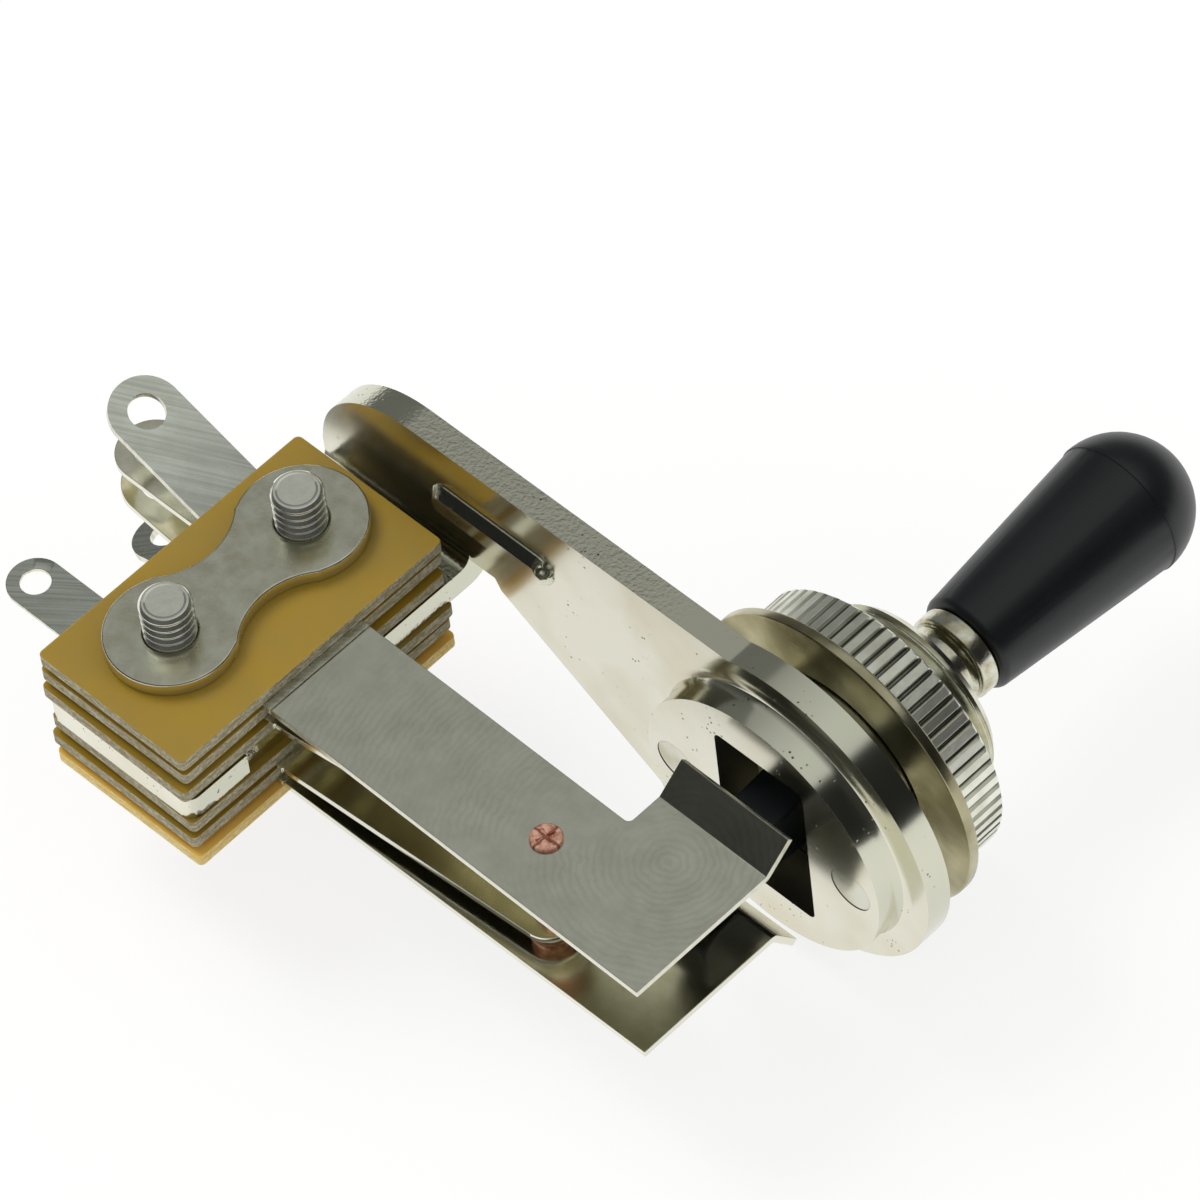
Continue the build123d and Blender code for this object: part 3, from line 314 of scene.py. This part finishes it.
def peenedCopper(look):
    # copper rivet with its end hammered over: rough and reddish, with a cross left by the punch
    material, tree, place = startFinish("peenedCopper")
    blotch = addNode(tree, "TexNoise", {
        "Vector": place, "Scale": perMm(look["blotchSize"]), "Detail": 4.0, "Roughness": 0.65})
    blotched = addNode(tree, "MapRange", {"Value": blotch, **span(look["blotchBand"])})
    colour = addNode(tree, "Mix", {
        0: blotched, 6: linear(look["dark"]), 7: linear(look["light"])}, **ofColours)

    # each arm of the cross lies within half its width of a line through the rivet's middle
    wobble = addNode(tree, "VectorMath", {
        0: blotch, 1: (look["wobble"], -look["wobble"], 0.0)}, operation="MULTIPLY")
    wobbly = addNode(tree, "VectorMath", {0: place, 1: wobble}, operation="ADD")
    x, y = [addNode(tree, "SeparateXYZ", {0: wobbly}, i) for i in (0, 1)]
    arms = []
    armBand = (look["armWidth"] / 2, look["armWidth"])
    for part, middle in ((x, look["rivetX"]), (y, look["rivetY"])):
        off = addNode(tree, "Math", {0: part, 1: middle}, operation="SUBTRACT")
        off = addNode(tree, "Math", {0: off}, operation="ABSOLUTE")
        arms.append(addNode(tree, "MapRange", {"Value": off, **span(armBand)}))
    unmarked = addNode(tree, "Math", {0: arms[0], 1: arms[1]}, operation="MINIMUM")
    colour = addNode(tree, "Mix", {0: unmarked, 6: linear(look["cross"]), 7: colour}, **ofColours)
    bump = addNode(tree, "Bump", {"Height": unmarked, "Distance": look["crossDepth"], "Strength": 0.8})
    bump = addNode(tree, "Bump", {
        "Height": blotch, "Distance": look["blotchDepth"], "Strength": 0.8, "Normal": bump})
    return endFinish(material, tree, {
        "Base Color": colour, "Metallic": look["metallic"], "Roughness": look["roughness"], "Normal": bump})


# Sheets and sleeves: real paper layers are about 0.05 mm thick, too fine to show, so they are drawn
# 0.16 mm thick.
boardLook = {
    "name": "oliveResinBondedPaper", "face": "#94771c", "cloud": "#8c742a", "layer": "#8a8161",
    "fuzz": "#bdb8a2", "cloudSize": 3.5, "cloudBand": (0.3, 0.75), "layerSize": 0.16, "layerSqueeze": 0.15,
    "fibreSize": 0.22, "fuzzBand": (0.2, 0.34), "fuzzDepth": 0.0003, "rippleSize": 0.8,
    "rippleDepth": 0.00001, "faceRoughness": 0.36, "sideRoughness": 0.8, "ior": 1.55,
    "depthShare": 0.15, "depthReach": (0.0012, 0.0008, 0.0003)}
# insulator_6 is the same paper painted lighter and more amber: painted light for the glow its sides show,
# though they sit in the stack's shade
glowPaintedBoardLook = dict(boardLook, name="amberBoardPaintedGlow", face="#d9b04e", cloud="#dfb85e",
                    layer="#ddba68", fuzz="#ecdca6", depthShare=0.3)
sleeveLook = dict(boardLook, name="plainInsulatingTube", face="#cfc6ac", cloud="#c9bfa2", layer="#c2b998",
                  fuzz="#d8d0ba")


def resinBondedPaper(look):
    # sheets of paper pressed with resin: smooth olive or amber faces that light enters a little, and
    # along the sheared sides the paper layers show as pale, fuzzy stripes
    material, tree, place = startFinish(look["name"])
    side = cutEdge(tree, "Z")
    cloud = addNode(tree, "TexNoise", {"Vector": place, "Scale": perMm(look["cloudSize"]), "Detail": 3.0})
    cloudy = addNode(tree, "MapRange", {"Value": cloud, **span(look["cloudBand"])})
    face = addNode(tree, "Mix", {0: cloudy, 6: linear(look["face"]), 7: linear(look["cloud"])}, **ofColours)

    flat = addNode(tree, "Mapping", {
        "Vector": place, "Scale": (look["layerSqueeze"], look["layerSqueeze"], 1.0)})
    layers = addNode(tree, "TexNoise", {
        "Vector": flat, "Scale": perMm(look["layerSize"]), "Detail": 3.0, "Roughness": 0.7})
    fibres = addNode(tree, "TexNoise", {
        "Vector": place, "Scale": perMm(look["fibreSize"]), "Detail": 4.0, "Roughness": 0.75})
    fuzz = addNode(tree, "Math", {0: layers, 1: fibres}, operation="MULTIPLY")
    fuzzy = addNode(tree, "MapRange", {"Value": fuzz, **span(look["fuzzBand"])})
    sides = addNode(tree, "Mix", {0: fuzzy, 6: linear(look["layer"]), 7: linear(look["fuzz"])}, **ofColours)
    colour = addNode(tree, "Mix", {0: side, 6: face, 7: sides}, **ofColours)

    sideFuzz = addNode(tree, "Math", {0: fuzz, 1: side}, operation="MULTIPLY")
    ripple = addNode(tree, "TexNoise", {"Vector": place, "Scale": perMm(look["rippleSize"]), "Detail": 2.0})
    bump = addNode(tree, "Bump", {"Height": sideFuzz, "Distance": look["fuzzDepth"], "Strength": 0.9})
    bump = addNode(tree, "Bump", {
        "Height": ripple, "Distance": look["rippleDepth"], "Strength": 0.4, "Normal": bump})
    roughness = addNode(tree, "Mix", {0: side, 2: look["faceRoughness"], 3: look["sideRoughness"]})
    return endFinish(material, tree, {
        "Base Color": colour, "Roughness": roughness, "IOR": look["ior"], "Normal": bump,
        "Subsurface Weight": look["depthShare"], "Subsurface Radius": look["depthReach"],
        "Subsurface Scale": 1.0})


blockLook = {
    "name": "mouldedPhenolic", "dark": "#0d1113", "light": "#171c1f", "cloudSize": 3.0, "grainSize": 0.3,
    "grainDepth": 0.00003, "roughBand": (0.3, 0.8), "roughness": (0.34, 0.39), "ior": 1.5}
tipLook = dict(blockLook, name="satinBlackPlastic", dark="#080c0e", light="#0c1215", grainSize=0.25,
               grainDepth=0.000006, roughness=(0.36, 0.41))


def mouldedBlack(look):
    # black plastic out of a mould: a broad soft shine over a fine grain
    material, tree, place = startFinish(look["name"])
    grain = addNode(tree, "TexNoise", {"Vector": place, "Scale": perMm(look["grainSize"]), "Detail": 3.0})
    cloud = addNode(tree, "TexNoise", {"Vector": place, "Scale": perMm(look["cloudSize"]), "Detail": 3.0})
    colour = addNode(tree, "Mix", {0: cloud, 6: linear(look["dark"]), 7: linear(look["light"])}, **ofColours)
    bump = addNode(tree, "Bump", {"Height": grain, "Distance": look["grainDepth"], "Strength": 0.5})
    roughness = addNode(tree, "MapRange", {
        "Value": cloud, **span(look["roughBand"]), **span(look["roughness"], "To")})
    return endFinish(material, tree, {
        "Base Color": colour, "Roughness": roughness, "IOR": look["ior"], "Normal": bump})


finishes = {
    "stamped": nickelOnStampedSteel(stampedLook), "turned": nickelOnTurnedBrass(turnedLook),
    "washer": nickelOnTurnedBrass(washerPaintedReflectionLook), "nut": nickelOnTurnedBrass(nutLook),
    "lever": nickelOnTurnedBrass(leverLook), "screw": nickelOnScrewSteel(screwLook),
    "leaf": nickelSilverStrip(stripLook), "blade": nickelSilverStrip(bladeLook),
    "lug": nickelSilverStrip(lugLook), "clamp": nickelSilverStrip(clampLook),
    "copper": peenedCopper(copperLook), "board": resinBondedPaper(boardLook),
    "glowPaintedBoard": resinBondedPaper(glowPaintedBoardLook), "sleeve": resinBondedPaper(sleeveLook),
    "block": mouldedBlack(blockLook), "tip": mouldedBlack(tipLook),
}
print("finishes made:", len(finishes))

# each node's finish and the width in millimetres of the rounding that its real edges have
wears = {
    "frame": ("stamped", 0.1), "clamp_plate": ("clamp", 0.12), "bushing": ("turned", 0.06),
    "washer": ("washer", 0.04), "knurled_nut": ("nut", 0.035), "lever": ("lever", 0.05),
    "pivot_pin": ("screw", 0.04), "clamp_screws": ("screw", 0.03),
    "upper_outer_leaf": ("leaf", 0.05), "lower_outer_leaf": ("blade", 0.05),
    "upper_inner_blade": ("blade", 0.04), "lower_inner_blade": ("blade", 0.04),
    "upper_outer_lug": ("lug", 0.05), "lower_outer_lug": ("lug", 0.05), "ground_lug": ("lug", 0.03),
    "upper_outer_contact": ("copper", 0.05), "lower_outer_contact": ("copper", 0.05),
    "upper_inner_contact": ("copper", 0.05), "lower_inner_contact": ("copper", 0.05),
    "insulator_1": ("board", 0.04), "insulator_2": ("board", 0.04), "insulator_3": ("board", 0.04),
    "insulator_4": ("board", 0.04), "insulator_5": ("board", 0.04), "insulator_6": ("glowPaintedBoard", 0.04),
    "screw_sleeves": ("sleeve", 0.03), "actuator": ("block", 0.06), "lever_tip": ("tip", 0.04),
}
edges = {"weldWithin": 0.000001, "flatWithin": 0.5, "segments": 2, "sharpFrom": 30}   # metres and degrees


def roundEdges(piece, width):
    # welded, its flats joined up, given a tiny rounding and shaded by the larger faces, so flats stay flat
    weld = piece.modifiers.new("weld", "WELD")
    weld.merge_threshold = edges["weldWithin"]
    flats = piece.modifiers.new("flats", "DECIMATE")
    flats.decimate_type = "DISSOLVE"
    flats.angle_limit = math.radians(edges["flatWithin"])
    rounding = piece.modifiers.new("rounding", "BEVEL")
    rounding.width = width / 1000
    rounding.segments = edges["segments"]
    rounding.limit_method = "ANGLE"
    rounding.angle_limit = math.radians(edges["sharpFrom"])
    rounding.face_strength_mode = "FSTR_AFFECTED"
    shading = piece.modifiers.new("shading", "WEIGHTED_NORMAL")
    shading.use_face_influence = True
    shading.keep_sharp = True


for name, (finish, width) in wears.items():
    piece = nodes[name]
    piece.data.materials.clear()
    piece.data.materials.append(finishes[finish])
    piece.data.polygons.foreach_set("use_smooth", np.ones(len(piece.data.polygons), bool))
    roundEdges(piece, width)
print("finishes given to", len(wears), "nodes")

# the bushing's free end gets its thread; lengths in metres, flat is the share of a pitch that is flat
# at the crest and at the root
thread = {
    "start": -0.00098, "end": 0.001, "crest": 0.00595, "depth": 0.0004, "pitch": 0.000794, "flat": 0.1,
    "fade": 0.00012, "rows": 60, "findWithin": 0.000004, "mergeWithin": 0.000006, "sharpFrom": 32}


def threadedBushing(look):
    # the bushing's own faces, with the plain free end worked out anew on a grid of turn t and height y:
    # radius = crest - depth * groove(s), s = y / pitch + t / one turn, where groove goes straight from 0
    # on the crest to 1 at the root and back, and fades to 0 at both ends
    source = nodes["bushing"].data
    points = np.empty(len(source.vertices) * 3)
    source.vertices.foreach_get("co", points)
    points = points.reshape(-1, 3)
    source.calc_loop_triangles()
    corners = np.empty(len(source.loop_triangles) * 3, int)
    source.loop_triangles.foreach_get("vertices", corners)
    corners = corners.reshape(-1, 3)

    near = look["findWithin"]
    onEnd = (np.abs(np.hypot(points[:, 0], points[:, 2]) - look["crest"]) < near) & (
        points[:, 1] > look["start"] - near) & (points[:, 1] < look["end"] + near)
    kept = corners[~onEnd[corners].all(1)]
    rim = points[onEnd & (np.abs(points[:, 1] - look["end"]) < near)]
    turn = np.unique(np.round(np.arctan2(rim[:, 2], rim[:, 0]), 5))   # the rim's own corners, so they meet
    height = np.linspace(look["start"], look["end"], look["rows"])

    t, y = np.meshgrid(turn, height)
    along = np.mod(y / look["pitch"] + t / (2 * np.pi), 1.0)
    groove = np.clip((0.5 - look["flat"] / 2 - np.abs(along - 0.5)) / (0.5 - look["flat"]), 0, 1)
    fade = np.clip(np.minimum(y - look["start"], look["end"] - y) / look["fade"], 0, 1)
    radius = look["crest"] - look["depth"] * groove * fade
    gridPoints = np.stack([radius * np.cos(t), y, radius * np.sin(t)], -1).reshape(-1, 3)
    count = len(turn)
    index = np.arange(count * look["rows"]).reshape(look["rows"], count) + len(points)
    after = np.roll(index, -1, 1)
    quads = np.stack([index[:-1], index[1:], after[1:], after[:-1]], -1).reshape(-1, 4)

    mesh = bpy.data.meshes.new("threadedBushing")
    mesh.from_pydata(np.concatenate([points, gridPoints]).tolist(), [], kept.tolist() + quads.tolist())
    work = bmesh.new()
    work.from_mesh(mesh)
    bmesh.ops.remove_doubles(work, verts=work.verts, dist=look["mergeWithin"])
    bmesh.ops.delete(work, geom=[v for v in work.verts if not v.link_faces], context="VERTS")
    bmesh.ops.recalc_face_normals(work, faces=work.faces)
    openEdges = sum(1 for e in work.edges if len(e.link_faces) != 2)
    work.to_mesh(mesh)
    work.free()
    mesh.polygons.foreach_set("use_smooth", np.ones(len(mesh.polygons), bool))
    mesh.set_sharp_from_angle(angle=math.radians(look["sharpFrom"]))
    mesh.materials.append(finishes["turned"])
    piece = bpy.data.objects.new("threadedBushing", mesh)
    scene.collection.objects.link(piece)
    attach(piece, "switch_body")
    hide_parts("bushing")
    print("bushing thread cut:", count, "steps a turn,", openEdges, "open edges")


threadedBushing(thread)

# floor, light and camera, in metres and watts
studio = {
    "floorGap": 0.0003, "floorSize": 3.0, "floorHex": "#f4f3f0", "pulpHex": "#f1f0ed", "pulpSize": 20,
    "floorRoughness": 0.9, "floorWhite": 0.8, "fill": 0.72, "middle": (-0.01, -0.01, 0.0),
    "keyLamp": {"place": (-0.5, -0.05, 0.6), "size": 0.45, "power": 3.4},
    "sideLamp": {"place": (0.55, 0.25, 0.35), "size": 0.4, "power": 0.9}}


def flatSheet(name, centre, right, up, width, height):
    # four corners: centre + u * width * right + v * height * up, for u and v of -0.5 and 0.5
    u, v = np.array([-0.5, 0.5, 0.5, -0.5]), np.array([-0.5, -0.5, 0.5, 0.5])
    corners = np.array(centre) + u[:, None] * width * np.array(right) + v[:, None] * height * np.array(up)
    mesh = bpy.data.meshes.new(name)
    mesh.from_pydata(corners.tolist(), [], [(0, 1, 2, 3)])
    sheet = bpy.data.objects.new(name, mesh)
    scene.collection.objects.link(sheet)
    return sheet


def seenShare(tree):
    # 1 for rays from the camera and for mirror and glass rays, 0 for the rays that light things
    camera, glossy, glass = [addNode(tree, "LightPath", out=kind) for kind in (
        "Is Camera Ray", "Is Glossy Ray", "Is Transmission Ray")]
    seen = addNode(tree, "Math", {0: camera, 1: glossy}, operation="MAXIMUM")
    return addNode(tree, "Math", {0: seen, 1: glass}, operation="MAXIMUM")


def layFloor(look):
    # matt white paper that keeps the shadow; what is seen of it is mostly plain white
    floor = flatSheet("studioFloor", (0, 0, cadBounds[0][2] - look["floorGap"]), (1, 0, 0), (0, 1, 0),
                      look["floorSize"], look["floorSize"])
    material, tree, place = startFinish("whitePaperSweep")
    pulp = addNode(tree, "TexNoise", {"Vector": place, "Scale": perMm(look["pulpSize"]), "Detail": 2.0})
    paper = addNode(tree, "Mix", {
        0: pulp, 6: linear(look["floorHex"]), 7: linear(look["pulpHex"])}, **ofColours)
    matt = addNode(tree, "BsdfPrincipled", {"Base Color": paper, "Roughness": look["floorRoughness"]})
    white = addNode(tree, "Emission", {"Color": (1, 1, 1, 1), "Strength": 1.0})
    share = addNode(tree, "Math", {0: seenShare(tree), 1: look["floorWhite"]}, operation="MULTIPLY")
    addNode(tree, "OutputMaterial", {"Surface": addNode(tree, "MixShader", {0: share, 1: matt, 2: white})})
    floor.data.materials.append(material)


def lightWorld(look):
    # white to look at, weaker as a light
    world = bpy.data.worlds.new("studioWorld")
    scene.world = world
    world.use_nodes = True
    tree = world.node_tree
    tree.nodes.clear()
    strength = addNode(tree, "Mix", {0: seenShare(tree), 2: look["fill"], 3: 1.0})
    glow = addNode(tree, "Background", {"Color": (1, 1, 1, 1), "Strength": strength})
    addNode(tree, "OutputWorld", {"Surface": glow})


def softLamp(name):
    # round area lamp that looks at the middle of the switch and stays out of its reflections
    look = studio[name]
    lamp = bpy.data.lights.new(name, "AREA")
    lamp.shape = "DISK"
    lamp.size = look["size"]
    lamp.energy = look["power"]
    holder = bpy.data.objects.new(name, lamp)
    scene.collection.objects.link(holder)
    holder.location = look["place"]
    aim = Vector(studio["middle"]) - Vector(look["place"])
    holder.rotation_euler = aim.to_track_quat("-Z", "Y").to_euler()
    holder.visible_glossy = False


layFloor(studio)
lightWorld(studio)
softLamp("keyLamp")
softLamp("sideLamp")

# cloth that only reflections see: the room above and around the table, as the metal shows it.
# wallGlow gives the wall's brightness by its position once round, from -180 to 180 degrees.
room = {
    "radius": 0.95, "wallLow": 0.03, "wallHigh": 1.05, "wallSteps": 72, "clothHex": "#f3f5f2",
    "wallGlow": ((0.0, 0.13), (0.1, 0.03), (0.16, 0.015), (0.25, 0.07), (0.5, 0.04), (0.55, 0.02),
                 (0.62, 0.03), (0.8, 0.14), (0.92, 0.2), (1.0, 0.13)),
    "windowSide": (-0.65, 0.2), "windowGlow": (0.43, 0.76),    # along X
    "nearSide": (-0.6, 0.0), "nearGlow": (0.3, 1.0),           # along Y
    "farEnd": (0.62, 0.74), "farGlow": (1.0, 0.05)}            # along X, past the window


def reflectionOnly(card, makeLevel):
    # a card that glows by makeLevel for mirror rays and isn't there for any other
    material, tree, place = startFinish(card.name + "Cloth")
    glow = addNode(tree, "Emission", {"Color": linear(room["clothHex"]), "Strength": makeLevel(tree, place)})
    addNode(tree, "OutputMaterial", {"Surface": glow})
    card.data.materials.append(material)
    card.visible_camera = False
    card.visible_diffuse = False
    card.visible_shadow = False
    card.visible_transmission = False


def wallLevel(tree, place):
    compass = addNode(tree, "TexGradient", {"Vector": place}, 1, gradient_type="RADIAL")
    level = addNode(tree, "ValToRGB", {0: compass})
    stops = level.node.color_ramp.elements
    for position, glow in room["wallGlow"][1:-1]:
        stops.new(position)
    for stop, (position, glow) in zip(stops, room["wallGlow"]):
        stop.position = position
        stop.color = (glow, glow, glow, 1)
    return level


def ceilingLevel(tree, place):
    # brighter towards the window side, darker over the near side and past the far end
    x, y = [addNode(tree, "SeparateXYZ", {0: place}, i) for i in (0, 1)]
    window = addNode(tree, "MapRange", {
        "Value": x, **span(room["windowSide"]), **span(room["windowGlow"], "To")})
    near = addNode(tree, "MapRange", {"Value": y, **span(room["nearSide"]), **span(room["nearGlow"], "To")})
    far = addNode(tree, "MapRange", {"Value": x, **span(room["farEnd"]), **span(room["farGlow"], "To")})
    dimmed = addNode(tree, "Math", {0: near, 1: far}, operation="MULTIPLY")
    return addNode(tree, "Math", {0: window, 1: dimmed}, operation="MULTIPLY")


def ringWall(name, radius, low, high, steps):
    # upright band around the table: (radius cos t, radius sin t, z) for t once round, z low and high
    t = np.linspace(0, 2 * np.pi, steps, endpoint=False)
    circle = np.stack([radius * np.cos(t), radius * np.sin(t)], -1)
    points = np.concatenate([np.c_[circle, np.full(steps, low)], np.c_[circle, np.full(steps, high)]])
    index = np.arange(steps)
    after = (index + 1) % steps
    faces = np.stack([after, index, index + steps, after + steps], -1)
    mesh = bpy.data.meshes.new(name)
    mesh.from_pydata(points.tolist(), [], faces.tolist())
    wall = bpy.data.objects.new(name, mesh)
    scene.collection.objects.link(wall)
    return wall


reflectionOnly(ringWall("roomWall", room["radius"], room["wallLow"], room["wallHigh"], room["wallSteps"]),
               wallLevel)
reflectionOnly(flatSheet("roomCeiling", (0, 0, room["wallHigh"]), (1, 0, 0), (0, -1, 0),
                         2 * room["radius"], 2 * room["radius"]), ceilingLevel)
scene.cycles.glossy_bounces = 8   # light gets out from between the washer and the plate after several
print("studio lit")

# degrees, metres and pixels; across and down shift the plate's back in the picture
view = {
    "azimuth": 50.1865, "elevation": 52.5198, "roll": -7.4644, "distance": 0.5, "across": 0.00995401,
    "down": -0.0108701, "focalPixels": 9388.769, "photoPixels": 1200, "plateBack": -0.00879,
    "sensor": 36.0, "nearest": 0.05, "farthest": 20.0}


def placeCamera(look):
    turn, lift, lean = (math.radians(look[k]) for k in ("azimuth", "elevation", "roll"))
    back = Vector((math.sin(turn) * math.cos(lift), -math.cos(turn) * math.cos(lift), math.sin(lift)))
    level = Vector((math.cos(turn), math.sin(turn), 0.0))
    upright = back.cross(level)
    right = math.cos(lean) * level + math.sin(lean) * upright
    up = -math.sin(lean) * level + math.cos(lean) * upright
    camera = bpy.data.cameras.new("photoCamera")
    camera.sensor_width = look["sensor"]
    camera.lens = look["focalPixels"] / look["photoPixels"] * camera.sensor_width
    camera.clip_start = look["nearest"]
    camera.clip_end = look["farthest"]
    holder = bpy.data.objects.new("photoCamera", camera)
    scene.collection.objects.link(holder)
    spot = back * look["distance"] - right * look["across"] - up * look["down"]
    spot.y += look["plateBack"]
    holder.matrix_world = Matrix.Translation(spot) @ Matrix((right, up, back)).transposed().to_4x4()
    scene.camera = holder


placeCamera(view)
scene.view_settings.view_transform = "Standard"
print("camera placed")
